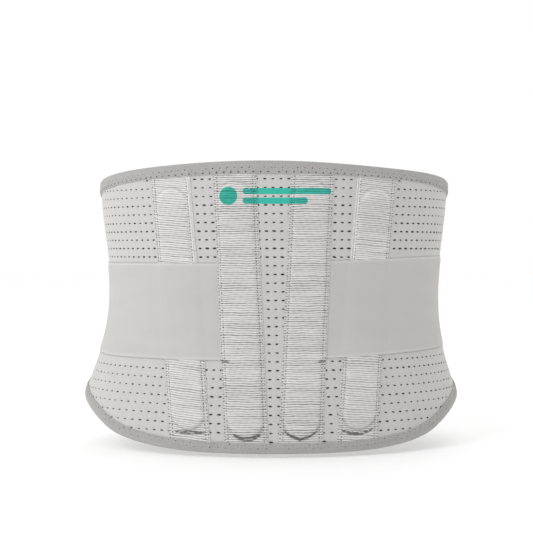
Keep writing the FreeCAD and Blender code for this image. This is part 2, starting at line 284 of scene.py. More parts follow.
def thick_sheet(name, outer, inner, uv, material, flip=False):
    """A closed cloth from a grid of outer points and one of inner points, with rounded edges all round."""
    rows, columns = outer.shape[:2]
    border = (
        [(0, j) for j in range(columns)]
        + [(i, columns - 1) for i in range(1, rows)]
        + [(rows - 1, j) for j in range(columns - 2, -1, -1)]
        + [(i, 0) for i in range(rows - 2, 0, -1)]
    )
    at = tuple(np.array(border).T)
    inwards = tuple(np.clip(place, 1, count - 2) for place, count in zip(at, (rows, columns)))
    middle = (outer + inner) / 2
    thick = np.linalg.norm(outer - inner, axis=-1, keepdims=True)
    rim = middle[at] + unit(middle[at] - middle[inwards]) * SHEET_EDGE * thick[at]
    points = np.concatenate([outer.reshape(-1, 3), inner.reshape(-1, 3), rim])
    uvs = np.concatenate([uv.reshape(-1, 2), uv.reshape(-1, 2), uv[at]])
    count = rows * columns
    ring = at[0] * columns + at[1]
    after = np.roll(ring, -1)
    k = 2 * count + np.arange(len(border))
    k_after = np.roll(k, -1)
    upper = np.stack([ring, after, k_after, k], -1)
    lower = np.stack([k, k_after, after + count, ring + count], -1)
    way = 1 if flip else -1
    faces = [grid_faces(rows, columns, 0, flip), grid_faces(rows, columns, count, not flip)]
    faces += [upper[:, ::way], lower[:, ::way]]
    return make_object(name, points, np.concatenate(faces), uvs, [material])


def band_faces(rows, columns):
    """Faces of a closed solid made of rows of points round a cross-section, with flat ends."""
    faces = []
    for i in range(rows - 1):
        for j in range(columns):
            a, b = i * columns + j, i * columns + (j + 1) % columns
            faces.append((a, b, b + columns, a + columns))
    start = tuple(range(columns))
    return faces + [start[::-1], tuple((rows - 1) * columns + j for j in start)]


def closed_band(name, points, uv, material, flip=False):
    faces = band_faces(*points.shape[:2])
    if flip:
        faces = [f[::-1] for f in faces]
    return make_object(name, points.reshape(-1, 3), faces, uv.reshape(-1, 2), [material], sharp=BAND_SHARP)


def tube(line, radius):
    """Points and faces of a closed thread along a line of points, with a radius at each."""
    along = unit(np.gradient(line, axis=0))
    across = unit(np.cross(along, line * [1, 1, 0]))[:, None]
    up = np.cross(across[:, 0], along)[:, None]
    angles = np.arange(STITCH_SIDES)[:, None] * 2 * math.pi / STITCH_SIDES
    round_it = across * np.cos(angles) + up * np.sin(angles)
    rings = line[:, None] + np.asarray(radius)[:, None, None] * round_it
    return rings.reshape(-1, 3), band_faces(len(line), STITCH_SIDES)


def seam(line, place, lift):
    """Stitches along a line of flat places. place gives a place's point and lift the cloth's height there."""
    line = np.asarray(line, float)
    reach = reach_along(line)
    stitches = []
    for start in np.arange(0.6, reach[-1] - SEAM_PITCH, SEAM_PITCH):
        ways = start + SEAM_PITCH * np.array([0.0, 0.2, 0.6, 0.78])
        a, z = (np.interp(ways, reach, line[:, k]) for k in (0, 1))
        height = (lift(a, z) if callable(lift) else lift) + np.array([-0.12, 0.16, 0.16, -0.12])
        stitches.append(tube(place(a, z, height), [0.14, 0.24, 0.24, 0.14]))
    return stitches


def join_parts(name, parts, material):
    """One object from many small closed meshes."""
    points, faces, start = [], [], 0
    for part_points, part_faces in parts:
        points.append(part_points)
        faces += [tuple(start + v for v in f) for f in part_faces]
        start += len(part_points)
    points = np.concatenate(points)
    return make_object(name, points, faces, points[:, [0, 2]], [material])


# ---------------------------------------------------------------- materials
KNIT_GREY = (0.60, 0.592, 0.58)
BINDING_GREY = (0.43, 0.424, 0.414)
TAPE_GREY = (0.80, 0.79, 0.774)
STRAP_GREY = (0.56, 0.553, 0.542)
LOOP_GREY = (0.50, 0.49, 0.475)
HOOK_GREY = (0.33, 0.33, 0.325)
STAY_GREY = (0.62, 0.62, 0.60)
# painted shade: the dark seen through the knit's holes
HOLE_SHADE_GREY = (0.045, 0.045, 0.045)
THREAD_GREY = (0.72, 0.71, 0.70)
BINDING_THREAD_GREY = (0.60, 0.595, 0.58)
# painted shade of the needle holes
NEEDLE_SHADE_GREY = (0.08, 0.08, 0.08)
TEAL = (0.045, 0.50, 0.40)
# the printed mark's shapes: middle x and z, half width, half height and corner radius
PRINTED = [(-37.5, 77.3, 7.6, 7.6, 7.6), (11.5, 81.2, 37.0, 2.6, 2.6), (1.5, 73.2, 27.0, 2.6, 2.6)]
PRINT_RAGGED, PRINT_BLUR = 0.35, 0.12
GRAIN = (0.25, 0.75)  # the part of a fine noise's values that is used


class Nodes:
    """A node tree: each method adds a node and returns its output."""

    def __init__(self, tree):
        self.tree = tree

    def node(self, kind, **inputs):
        made = self.tree.nodes.new(kind)
        for name, value in inputs.items():
            self.put(made.inputs[name.replace("_", " ")], value)
        return made

    def put(self, socket, value):
        if isinstance(value, bpy.types.NodeSocket):
            self.tree.links.new(value, socket)
        else:
            socket.default_value = value

    def ranged(self, value, low, high, from_low=0.0, from_high=1.0):
        ends = {"From_Min": from_low, "From_Max": from_high, "To_Min": low, "To_Max": high}
        return self.node("ShaderNodeMapRange", Value=value, **ends).outputs["Result"]

    def maths(self, what, a, b=0.0):
        made = self.node("ShaderNodeMath")
        made.operation = what
        self.put(made.inputs[0], a)
        self.put(made.inputs[1], b)
        return made.outputs[0]

    def times(self, first, *others):
        for other in others:
            first = self.maths("MULTIPLY", first, other)
        return first

    def mix(self, a, b, share=1.0, blend="MIX"):
        made = self.node("ShaderNodeMix")
        made.data_type, made.blend_type = "RGBA", blend
        for number, value in ((0, share), (6, a), (7, b)):
            self.put(made.inputs[number], value)
        return made.outputs[2]


class Paint(Nodes):
    """A material for cloth, with textures laid out in the cloth's own millimetres."""

    def __init__(self, name, colour, roughness=0.9, sheen=0.25, specular=0.2):
        self.material = bpy.data.materials.new(name)
        self.material.use_nodes = True
        super().__init__(self.material.node_tree)
        self.shader = self.tree.nodes["Principled BSDF"]
        self.shader.inputs["Roughness"].default_value = roughness
        self.shader.inputs["Sheen Weight"].default_value = sheen
        self.shader.inputs["Sheen Roughness"].default_value = 0.5
        self.shader.inputs["Specular IOR Level"].default_value = specular
        self.colour = (*colour, 1.0)
        self.cloth = self.tree.nodes.new("ShaderNodeUVMap")
        self.cloth.uv_map = "cloth"

    def stretched(self, across, up, shift=0.0):
        """Cloth coordinates with a number of repeats per millimetre each way."""
        scale, place = (across / MM, up / MM, 1), (shift, shift, 0)
        made = self.node("ShaderNodeMapping", Vector=self.cloth.outputs["UV"], Scale=scale, Location=place)
        return made.outputs["Vector"]

    def noise(self, across, up, detail=2.0, shift=0.0):
        where = self.stretched(across, up, shift)
        return self.node("ShaderNodeTexNoise", Vector=where, Scale=1.0, Detail=detail).outputs["Fac"]

    def cells(self, across, up):
        where = self.stretched(across, up)
        return self.node("ShaderNodeTexVoronoi", Vector=where, Scale=1.0).outputs["Distance"]

    def waves(self, across, up, distortion=0.0):
        """Bands along u if up is 0, along z if across is 0."""
        where = self.stretched(across, up)
        made = self.node("ShaderNodeTexWave", Vector=where, Scale=1.0, Distortion=distortion)
        made.bands_direction = "X" if up == 0 else "Y"
        return made.outputs["Fac"]

    def attribute(self, name):
        made = self.tree.nodes.new("ShaderNodeAttribute")
        made.attribute_name = name
        return made.outputs["Fac"]

    def shade(self, *greys, printed=False):
        """Base colour times grey values. Inside the printed shapes the print's colour replaces the base."""
        base = self.mix(self.colour, (*TEAL, 1.0), self.print_mask()) if printed else self.colour
        grey = self.times(*greys)
        colour = self.node("ShaderNodeCombineColor", Red=grey, Green=grey, Blue=grey).outputs[0]
        self.put(self.shader.inputs["Base Color"], self.mix(base, colour, blend="MULTIPLY"))

    def print_mask(self):
        """1 inside the printed shapes: a disc and two bars, with slightly ragged edges."""
        place = self.node("ShaderNodeSeparateXYZ", Vector=self.cloth.outputs["UV"])
        ragged = self.ranged(self.noise(1.2, 1.2, shift=9.0), -PRINT_RAGGED * MM, PRINT_RAGGED * MM)
        mask = 0.0
        for middle_x, middle_z, half_x, half_z, corner in PRINTED:
            squares = []
            for socket, middle, half in (("X", middle_x, half_x), ("Y", middle_z, half_z)):
                off = self.maths("ABSOLUTE", self.maths("SUBTRACT", place.outputs[socket], middle * MM))
                gap = self.maths("MAXIMUM", self.maths("SUBTRACT", off, (half - corner) * MM))
                squares.append(self.maths("MULTIPLY", gap, gap))
            reach = self.maths("ADD", self.maths("SQRT", self.maths("ADD", *squares)), ragged)
            shape = self.ranged(reach, 1.0, 0.0, (corner - PRINT_BLUR) * MM, (corner + PRINT_BLUR) * MM)
            mask = self.maths("MAXIMUM", mask, shape)
        return mask

    def rough(self, value, low, high):
        self.put(self.shader.inputs["Roughness"], self.ranged(value, low, high))

    def bump(self, height, depth):
        made = self.node("ShaderNodeBump", Height=height, Distance=depth * MM, Strength=1.0)
        self.put(self.shader.inputs["Normal"], made.outputs["Normal"])


def knit_paint(name, printed):
    """Fine stretch knit: a grain of tiny loops, faint wales and a slow change of tone."""
    paint = Paint(name, KNIT_GREY, sheen=0.3)
    grain, loops = paint.noise(2.3, 2.3, detail=3.0), paint.cells(1.5, 1.9)
    patches = paint.ranged(paint.noise(0.05, 0.05, shift=3.0), 0.95, 1.05)
    grains = paint.ranged(grain, 0.70, 1.25, *GRAIN)
    paint.shade(grains, patches, paint.ranged(loops, 1.03, 0.93), printed=printed)
    paint.rough(grain, 0.82, 0.98)
    paint.bump(paint.maths("ADD", grain, loops), 0.12)
    return paint.material


def hole_shade_paint():
    """Painted shade inside the knit's perforations: the deepest part of each hole's wall and the dark film
    that closes it.
    """
    paint = Paint("hole_shade", HOLE_SHADE_GREY, sheen=0.0)
    grain = paint.noise(3.0, 3.0)
    paint.shade(paint.ranged(grain, 0.7, 1.2))
    paint.bump(grain, 0.05)
    return paint.material


def tape_paint():
    """Ribbed tape. Painted shade darkens the grooves between the modelled ribs and the tape's other creases,
    with a little painted highlight, and each rib has a fine twill.
    """
    paint = Paint("channel_tape", TAPE_GREY, sheen=0.3)
    grain, twill = paint.noise(2.2, 3.0, detail=3.0), paint.waves(1.1, 0)
    # painted shade, and a little painted highlight, read from the tape's values
    groove_and_shade = paint.ranged(paint.attribute("groove_and_shade"), 1.085, 0.22)
    patches = paint.ranged(paint.noise(0.06, 0.12, shift=5.0), 0.94, 1.05)
    grains = paint.ranged(grain, 0.86, 1.14, *GRAIN)
    paint.shade(groove_and_shade, grains, paint.ranged(twill, 0.96, 1.02), patches, printed=True)
    paint.rough(grain, 0.78, 0.95)
    paint.bump(paint.maths("ADD", paint.times(twill, 0.5), grain), 0.10)
    return paint.material


def strap_paint():
    """Smooth elastic: fine lines along its length, where the rubber threads run, and a painted highlight
    along its raised edges.
    """
    paint = Paint("strap_elastic", STRAP_GREY, sheen=0.2)
    lines, fine = paint.waves(0, 0.55, distortion=0.4), paint.waves(0, 1.7)
    grain = paint.noise(0.35, 2.5)
    # painted highlight along the strap's raised edges
    edge_highlight = paint.ranged(paint.attribute("edge_highlight"), 1.0, 1.14)
    patches = paint.ranged(paint.noise(0.012, 0.05, shift=2.0), 0.93, 1.05)
    threads = paint.times(paint.ranged(lines, 0.955, 1.03), paint.ranged(fine, 0.975, 1.015))
    paint.shade(threads, paint.ranged(grain, 0.955, 1.045), edge_highlight, patches)
    paint.rough(grain, 0.72, 0.85)
    paint.bump(paint.maths("ADD", lines, paint.times(fine, 0.5)), 0.05)
    return paint.material


def binding_paint():
    """Woven binding tape: fine cross ribs and a close grain."""
    paint = Paint("binding", BINDING_GREY)
    ribs, grain = paint.waves(0.62, 0), paint.noise(1.8, 1.8, detail=3.0)
    patches = paint.ranged(paint.noise(0.04, 0.2, shift=4.0), 0.94, 1.06)
    paint.shade(paint.ranged(ribs, 0.94, 1.04), paint.ranged(grain, 0.60, 1.36, *GRAIN), patches)
    paint.rough(grain, 0.8, 0.97)
    paint.bump(paint.maths("ADD", ribs, grain), 0.09)
    return paint.material


def thread_paint(name, colour, printed=False):
    """Twisted sewing thread. With a near-black colour it also paints the shade of needle holes."""
    paint = Paint(name, colour, roughness=0.7, sheen=0.1)
    twist = paint.waves(0.9, 0, distortion=1.0)
    paint.shade(paint.ranged(twist, 0.85, 1.08), printed=printed)
    paint.bump(twist, 0.04)
    return paint.material


def loop_paint():
    """Short brushed loop pile."""
    paint = Paint("loop_pile", LOOP_GREY, sheen=0.6)
    pile, tufts = paint.noise(1.3, 1.3, detail=5.0), paint.cells(0.8, 0.8)
    paint.shade(paint.ranged(pile, 0.78, 1.2, *GRAIN), paint.ranged(tufts, 1.05, 0.88))
    paint.rough(pile, 0.9, 1.0)
    paint.bump(paint.maths("ADD", pile, tufts), 0.25)
    return paint.material


def hook_paint():
    """Moulded hook tape: rows of tiny stems on a smooth base."""
    paint = Paint("hook_tape", HOOK_GREY, sheen=0.0, specular=0.4)
    stems, rows = paint.cells(0.75, 0.75), paint.waves(0.7, 0)
    paint.shade(paint.ranged(stems, 1.25, 0.7))
    paint.rough(rows, 0.45, 0.7)
    paint.bump(paint.maths("SUBTRACT", rows, stems), 0.3)
    return paint.material


def stay_paint():
    """Smooth moulded plastic strip, faintly scuffed."""
    paint = Paint("stay", STAY_GREY, sheen=0.0, specular=0.5)
    scuffs = paint.node("ShaderNodeTexNoise", Scale=60.0, Detail=3.0).outputs["Fac"]
    paint.shade(paint.ranged(scuffs, 0.92, 1.05))
    paint.rough(scuffs, 0.32, 0.5)
    return paint.material


PAINT = {
    "knit": knit_paint("knit", True),
    "knit_inside": knit_paint("knit_inside", False),
    "hole": hole_shade_paint(),
    "tape": tape_paint(),
    "strap": strap_paint(),
    "binding": binding_paint(),
    "thread": thread_paint("thread", THREAD_GREY),
    # needle-hole marks in near-black painted shade, on the binding and on the tapes
    "needle_shade": thread_paint("needle_hole_shade", NEEDLE_SHADE_GREY),
    "tape_thread": thread_paint("tape_thread", THREAD_GREY, True),
    "tape_needle_shade": thread_paint("tape_needle_shade", NEEDLE_SHADE_GREY, True),
    "binding_thread": thread_paint("binding_thread", BINDING_THREAD_GREY),
    "loop": loop_paint(),
    "hook": hook_paint(),
    "stay": stay_paint(),
}


# ---------------------------------------------------------------- how pieces move and what they stand for
def across_fold(obj):
    """Cloth that runs from the back round the side fold to a wing."""
    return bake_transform(obj)


def belongs(piece, body, slot, *stands_for):
    """Attaches a piece to the body that moves it, or for a side's fold bakes its transform in, and hides the
    CAD solids it stands for.
    slot is not used.
    """
    if body in SIDES:
        across_fold(piece)
    else:
        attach(piece, body)
    if stands_for:
        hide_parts(*stands_for)


def sewing(name, parts, body, slot, paint="thread"):
    """One piece from many stitches or painted needle-hole shade marks, moved like the cloth that they are
    sewn through.
    """
    made = join_parts(name, parts, PAINT[paint])
    belongs(made, body, slot)
    return made


# ---------------------------------------------------------------- perforated knit
PITCH_U, PITCH_Z = 6.35, 7.3
FIRST_U, FIRST_Z = 0.5, 25.9  # one hole's centre
HOLE_WIDE, HOLE_HIGH = 1.55, 0.74  # half sizes
HOLE_RINGS = [(1.45, 1.7, 0.05), (1.0, 1.0, 0.35), (0.9, 0.85, 0.7)]  # wider, taller and deeper by this
ROWS = range(-24, 13)
SEAM_COLUMNS = 13  # columns of the middle piece on each side of the spine: it ends under the outer tapes
AROUND = [(-1, -1), (0, -1), (1, -1), (1, 0), (1, 1), (0, 1), (-1, 1), (-1, 0)]
NEIGHBOURS = [((0, -1), (0, 1, 2)), ((1, 0), (2, 3, 4)), ((0, 1), (4, 5, 6)), ((-1, 0), (6, 7, 0))]
LOOPS_FROM = 143  # in front, the loop panels cover everything with a smaller x than this


def drift(u, z):
    """How far the fabric's columns of holes lean towards +X on the way down, at the back."""
    return (0.35 + 0.0235 * (36 - z)) * smooth((270 - np.abs(u)) / 130)


def has_hole(u, z):
    """Whether a hole here would show: clear of the bindings, tapes, straps and the front's loops."""
    u = u + drift(u, z)
    if z > top_z(u) - BINDING_HIGH - 0.4 or z < low_z(u) + LOW_BINDING_HIGH + 0.4:
        return False
    x = abs(x_at(u, z))
    if abs(u) > HALF_ROUND / 2:
        if x < LOOPS_FROM:
            return False
    elif any(abs(x - tape_middle(row, z)) < wide / 2 - 0.6 for row, (_, _, wide) in TAPES.items()):
        return False
    lean = STRAP_LEAN * x if u > 0 else 0.0
    inside_strap = STRAP_LOW + lean - 1.6 < z < STRAP_TOP + lean + 1.3
    return not (inside_strap and x > tape_middle("centre", z))


def hole_size(u, z, row):
    """Size of one hole: smaller away from the spine and near the upper edge, and partly by chance."""
    shrink = (0.12 - 0.06 * np.sign(u) - 0.0012 * z) * smooth((abs(u) - 60) / 60)
    if z > STRAP_TOP:
        shrink += 0.16 - 0.26 * smooth((98 - z) / 65)
    return random.uniform(0.8, 1.05) * (1 - shrink) * (1 + 0.08 * math.sin(row * 2.3))


def knit_piece(name, first, last):
    """The knit between two columns of cells.

    Each face is a lattice at half the hole pitch with a ring of points round each hole. A hole goes in from
    both faces and meets in a dark film at mid thickness, painted shade for how the holes look when the belt
    is worn over clothes.
    """
    lattice, points, uvs, faces, paints = {}, [], [], [], []

    def add(u, z, out):
        u = float(np.clip(u + drift(u, z), -U_END + 1, U_END - 1))
        z = float(np.clip(z, low_z(u, 1.0), top_z(u, 1.0)))
        points.append((u, z, out))
        uvs.append((u, z))
        return len(points) - 1

    def corner(i, j, face):
        if (i, j, face) not in lattice:
            out = (KNIT_IN, KNIT_OUT)[face]
            lattice[i, j, face] = add(FIRST_U + i * PITCH_U / 2, FIRST_Z + j * PITCH_Z / 2, out)
        return lattice[i, j, face]

    def skin(new_faces, face, paint=0):
        faces.extend(f[::-1] if face else f for f in new_faces)
        paints.extend([paint if face or paint else 2] * len(new_faces))

    def pierced(u, z, column, row):
        size, turned = hole_size(u, z, row), random.normal(0, 0.05)
        for face, way in ((1, -1), (0, 1)):
            rings = [[corner(2 * column + i, 2 * row + j, face) for i, j in AROUND]]
            for wider, taller, sunk in HOLE_RINGS:
                out = (KNIT_IN, KNIT_OUT)[face] + way * sunk
                rings.append([])
                for i, j in AROUND:
                    angle = math.atan2(j, i)
                    du = HOLE_WIDE * size * math.cos(angle)
                    dz = HOLE_HIGH * size * math.sin(angle) + du * turned
                    rings[-1].append(add(u + du * wider, z + dz * taller, out))
            for number, (outer, inner) in enumerate(zip(rings, rings[1:])):
                band = [(outer[k - 1], inner[k - 1], inner[k], outer[k]) for k in range(8)]
                # the deepest band of each hole's wall, like the film below, takes the painted hole shade
                skin(band, face, int(number == 2))
            skin([tuple(rings[-1])[::-1]], face, 1)

    def plain(column, row):
        for face in (0, 1):
            ring = [corner(2 * column + i, 2 * row + j, face) for i, j in AROUND]
            middle = corner(2 * column, 2 * row, face)
            skin([(ring[k], middle, ring[(k + 2) % 8], ring[(k + 1) % 8]) for k in (1, 3, 5, 7)], face)

    kept = set()
    for column in range(first, last):
        for row in ROWS:
            u, z = FIRST_U + column * PITCH_U, FIRST_Z + row * PITCH_Z
            if z - PITCH_Z / 2 > top_z(u) - 1.5 or z + PITCH_Z / 2 < low_z(u) + 1.5 or abs(u) > U_END - 1:
                continue
            kept.add((column, row))
            if has_hole(u, z):
                pierced(u, z, column, row)
            else:
                plain(column, row)
    for column, row in kept:
        for step, ends in NEIGHBOURS:
            if (column + step[0], row + step[1]) in kept:
                continue
            for one, two in zip(ends, ends[1:]):
                a, b = ((2 * column + AROUND[k][0], 2 * row + AROUND[k][1]) for k in (one, two))
                faces.append((corner(*a, 0), corner(*b, 0), corner(*b, 1), corner(*a, 1)))
                paints.append(0)
    materials = [PAINT["knit"], PAINT["hole"], PAINT["knit_inside"]]
    return make_object(name, surface(*np.array(points).T), faces, uvs, materials, paints, KNIT_SHARP)


def make_knit():
    last = int((U_END - FIRST_U) / PITCH_U) + 1
    middle = knit_piece("knit_back", -SEAM_COLUMNS, SEAM_COLUMNS)
    belongs(middle, "back", "knit", "back_panel")
    for side, (start, end) in {"left": (-last - 1, -SEAM_COLUMNS), "right": (SEAM_COLUMNS, last + 1)}.items():
        piece = knit_piece(f"knit_{side}", start, end)
        belongs(piece, side, "knit", f"{side}_wing_panel")


# ---------------------------------------------------------------- bindings
# cross-section of the folded tape: (out, depth from the rim), round the outside and back along the slot
BINDING_SECTION = np.array([
    (1.75, 11.0), (2.15, 11.15), (2.5, 10.9), (2.62, 9.5), (2.72, 6.5), (2.7, 3.5), (2.45, 1.4), (1.75, 0.3),
    (0.8, 0.0), (-0.15, 0.3), (-0.75, 1.4), (-0.92, 3.5), (-0.92, 8.0), (-0.8, 10.9), (-0.4, 11.1),
    (-0.1, 10.8), (-0.1, 1.6), (1.7, 1.6),
])
OUTER_POINTS = 8  # the section's first points, on the outside
BINDING_SPACING, ZIGZAG_SPACING = 2.2, 0.5
ZIGZAG_STEP, ZIGZAG_DEEP, ZIGZAG_SHALLOW = 2.9, 9.4, 5.8


def rim_path(spacing):
    """One half of the rim: from the spine along the top, down the wing's end and back along the bottom."""
    corner = U_END - END_CORNER * (1 - np.sin(np.linspace(0, math.pi / 2, 60)))
    u = np.concatenate([np.linspace(0, U_END - END_CORNER - 1, 400), corner])
    line = np.concatenate([np.stack([u, top_z(u)], -1), np.stack([u, low_z(u)], -1)[::-1]])
    reach = reach_along(line)
    apart = np.r_[True, np.diff(reach) > 1e-6]
    line, reach = line[apart], reach[apart]
    ways = np.linspace(0, reach[-1], int(reach[-1] / spacing))
    path = np.stack([np.interp(ways, reach, line[:, 0]), np.interp(ways, reach, line[:, 1])], -1)
    along = np.gradient(path, axis=0)
    along[0], along[-1] = (1, 0), (-1, 0)
    along /= np.linalg.norm(along, axis=1, keepdims=True)
    return ways, path, np.stack([along[:, 1], -along[:, 0]], -1)


def over_tapes(x, z):
    """1 over the ends of the stay tapes at the back, 0 elsewhere, smooth between."""
    found = np.zeros_like(x)
    for row, (_, _, wide) in TAPES.items():
        found = np.maximum(found, smooth((wide / 2 + 1.6 - np.abs(np.abs(x) - tape_middle(row, z))) / 2.6))
    return found


def binding_swell(u, z, depth):
    """How far the binding's outer face is lifted where it covers the tapes' ends."""
    at_back = smooth((HALF_ROUND / 2 - np.abs(u)) / 20)
    return 0.85 * over_tapes(x_at(np.abs(u), z), z) * at_back * smooth((depth - 1.0) / 5.0)


def low_share(ways, path):
    """The binding's height compared with the upper one: it narrows on the lower edge."""
    on_low = (np.arange(len(ways)) > np.argmax(path[:, 0])) * smooth((U_END - 30 - path[:, 0]) / 60)
    return 1 - (1 - LOW_BINDING_HIGH / BINDING_HIGH) * on_low


def make_bindings():
    ways, path, inwards = rim_path(BINDING_SPACING)
    section_out, section_depth = BINDING_SECTION.T
    outside = np.arange(len(section_out)) < OUTER_POINTS
    wave = 0.12 * np.sin(ways * 0.21) + 0.10 * np.sin(ways * 0.083 + 1)
    weave = 0.10 * np.sin(ways * 1.08 + 0.4 * np.sin(ways * 0.2))
    for side, sign in SIDES.items():
        depth = section_depth * low_share(ways, path)[:, None] + wave[:, None] * (section_depth > 9)
        spot = path[:, None] + inwards[:, None] * depth[..., None]
        swell = binding_swell(spot[..., 0], spot[..., 1], depth)
        out = section_out + outside * swell + outside * weave[:, None]
        points = surface(sign * spot[..., 0], spot[..., 1], out)
        uv = np.stack(np.broadcast_arrays(ways[:, None], reach_along(BINDING_SECTION)), -1)
        piece = closed_band(f"binding_{side}", points, uv, PAINT["binding"], flip=sign < 0)
        belongs(piece, side, "binding", f"{side}_wing_binding", "back_top_binding", "back_bottom_binding")
        threads = make_zigzag(side, sign)


def make_zigzag(side, sign):
    """Zigzag stitch along the rim, with a dark needle-hole mark of painted shade at each turn."""
    ways, path, inwards = rim_path(ZIGZAG_SPACING)
    share = low_share(ways, path)
    turns_at = np.arange(1.4, ways[-1] - 1.4, ZIGZAG_STEP)
    depth = np.where(np.arange(len(turns_at)) % 2, ZIGZAG_DEEP, ZIGZAG_SHALLOW)
    depth = depth * np.interp(turns_at, ways, share)
    u, z, n_u, n_z = (np.interp(turns_at, ways, column) for column in (*path.T, *inwards.T))
    corners = np.stack([u + n_u * depth, z + n_z * depth], -1)
    lifts = 2.68 + binding_swell(corners[:, 0], corners[:, 1], depth)
    part = np.array([0.08, 0.3, 0.7, 0.92])
    threads, marks = [], []
    for k in range(len(corners) - 1):
        spot = corners[k] * (1 - part[:, None]) + corners[k + 1] * part[:, None]
        lift = lifts[k] + (lifts[k + 1] - lifts[k]) * part + np.array([-0.05, 0.2, 0.2, -0.05])
        fine = 1.0 if spot[0, 1] > 0 else 0.55
        line = surface(sign * spot[:, 0], spot[:, 1], lift)
        threads.append(tube(line, fine * np.array([0.16, 0.26, 0.26, 0.16])))
    for number, (spot, lift) in enumerate(zip(corners, lifts)):
        size = random.uniform(0.62, 0.82) * (1.0 if number % 2 else 0.86)
        if spot[1] < 0:
            size *= random.choice([0.4, 0.55, 0.75])
        marks.append(needle_hole_shade(sign * spot[0], spot[1], lift + 0.07, size))
    return [
        sewing(f"zigzag_{side}", threads, side, "binding", "binding_thread"),
        sewing(f"zigzag_needle_shades_{side}", marks, side, "binding", "needle_shade"),
    ]


def needle_hole_shade(u, z, out, size):
    """Painted shade of the small dimple where a stitch goes through: a dark, flat eight-sided dome."""
    angles = np.arange(8) * math.pi / 4
    ring_u, ring_z = u + size * np.cos(angles), z + size * np.sin(angles)
    points = np.concatenate([
        surface(ring_u, ring_z, out - 0.15),
        surface(u + 0.6 * (ring_u - u), z + 0.6 * (ring_z - z), out + 0.05),
    ])
    sides = [(k, (k + 1) % 8, 8 + (k + 1) % 8, 8 + k) for k in range(8)]
    return points, [*sides, tuple(range(8, 16)), tuple(range(8))[::-1]]


# ---------------------------------------------------------------- ribbed tapes over the stays
TAPE_STEP = 0.31  # height of a row of the tape's grid
TAPE_TUCKED = 7.5  # how far a tape's ends stop short of the rim, under the binding
RIB_PITCH, RIB_COUNT = 1.89, 400
TUCK_Z = -61.6  # where a strap's lower corner pulls a small fold into the centre tapes, darkened by painted shade
TAPE_STITCH_PITCH, PLUMP = 2.85, 1.7
HEM_COLUMNS = np.array([0.4, 0.8, 1.45, 1.7, 1.95, 2.6, 3.0])  # extra columns of points along the inner edge
RIB_SLANT = 0.085  # on the outer tapes the ribs fall a little towards +X
# the fold under each stay's lower end and its painted shadow: height, half length, how far its ends rise,
# half thickness
END_FOLDS = {
    "centre_left": (-124.6, 11.5, 3.6, 1.7),
    "centre_right": (-124.0, 14.0, 6.0, 0.95),
    "outer_left": (-120.6, 13.5, 0.6, 1.2),
    "outer_right": (-121.4, 13.5, 3.4, 1.1),
}


def stay_distance(row, q, z):
    """Distance from the stay's outline, negative inside, and the ways past its lower and upper roundings."""
    wide, top, low = STAYS[row]
    half = wide / 2
    past_low, past_top = (low + half) - z, z - (top - half)
    past = np.maximum(np.maximum(past_low, past_top), 0)
    return np.hypot(q, past) - half, past_low, past_top


def under_strap(z, x, side, ease):
    """1 where a strap lies across a tape, 0 above and below it."""
    low, high = strap_heights(side, x)
    return smooth((z - low) / ease + 0.5) * smooth((high - z) / ease + 0.5)


def tape_height(row, side, q, z):
    """Distance outwards of the tape's face, without ribs. q is the distance from the middle line."""
    wide = TAPES[row][2]
    distance, past_low, past_top = stay_distance(row, q, z)
    x = tape_middle(row, z) + q
    lifted = smooth(0.5 - distance / (3.0 + 3.0 * smooth((past_top + 4) / 8)))
    crown = 0.45 * (1 - (q / (wide / 2)) ** 2)
    end = smooth((past_low + 22) / 24) * smooth(0.5 - distance / 2.0)
    sewn = smooth((wide / 2 - np.abs(q)) / 2.5)
    height = 2.1 + lifted * (1.35 + crown) + 0.7 * end + 0.35 * sewn
    if row == "outer":
        return height + (2.15 + 0.3 * lifted - height) * under_strap(z, x, side, 3.0)
    return height + 0.9 * under_strap(z, x, side, 2.5) * smooth((x - 38) / 6)


def rib_field(q, z, seed, slant):
    """Irregular cross ribs: how deep each point lies in the grooves, which also sets their painted shade, and
    how dark each rib's grooves are.
    """
    wander = (
        0.22 * np.sin(q * 0.16 + seed) * np.sin(z * 0.11 + 2 * seed)
        + 0.12 * np.sin(q * 0.43 + 1.3 * seed + z * 0.07)
        + 0.25 * np.sin(z * 0.31 + seed)
    )
    phase = (z + slant * q + wander) / RIB_PITCH
    rib = np.round(phase).astype(int)
    chance = np.random.default_rng(int(seed * 100))
    dark, break_at, soft = (chance.uniform(*ends, RIB_COUNT) for ends in ((0.8, 1.2), (-18, 18), (0.0, 0.3)))
    groove_and_shade = np.exp(-(((phase - rib) / 0.27) ** 2))
    gone = soft[rib] * np.exp(-(((q - break_at[rib]) / 6.5) ** 2))
    patchy = 0.86 + 0.14 * np.sin(q * 0.31 + z * 0.9 + seed) * np.sin(q * 0.9 - z * 0.35)
    return groove_and_shade, dark[rib] * (1 - gone) * patchy


def end_fold_and_shadow(name, q, z):
    """The pinched fold under a stay's lower end, which sinks the tape and is darkened by painted shadow: 1 in
    its depth, with ragged borders.
    """
    height, half, rise, thick = END_FOLDS[name]
    shift = 0.8 if name.endswith("left") else -0.6
    along = (q - shift) / half
    ragged = 0.35 * np.sin(q * 1.9 + height) + 0.25 * np.sin(q * 4.3 + 2 * height)
    notch = 1.3 * np.exp(-(((q - shift) / 1.3) ** 2)) * (name == "centre_right")
    line = height + rise * along**2 + 0.55 * ragged - notch
    body = np.clip(1 - along**2, 0, 1) ** 0.6 * thick + 0.12
    stepped = 0.95 * np.round(z / 0.95) + 0.25 * (z - 0.95 * np.round(z / 0.95))
    return np.exp(-np.abs((stepped - line) / body) ** 3) * smooth((1.12 - np.abs(along)) / 0.25)


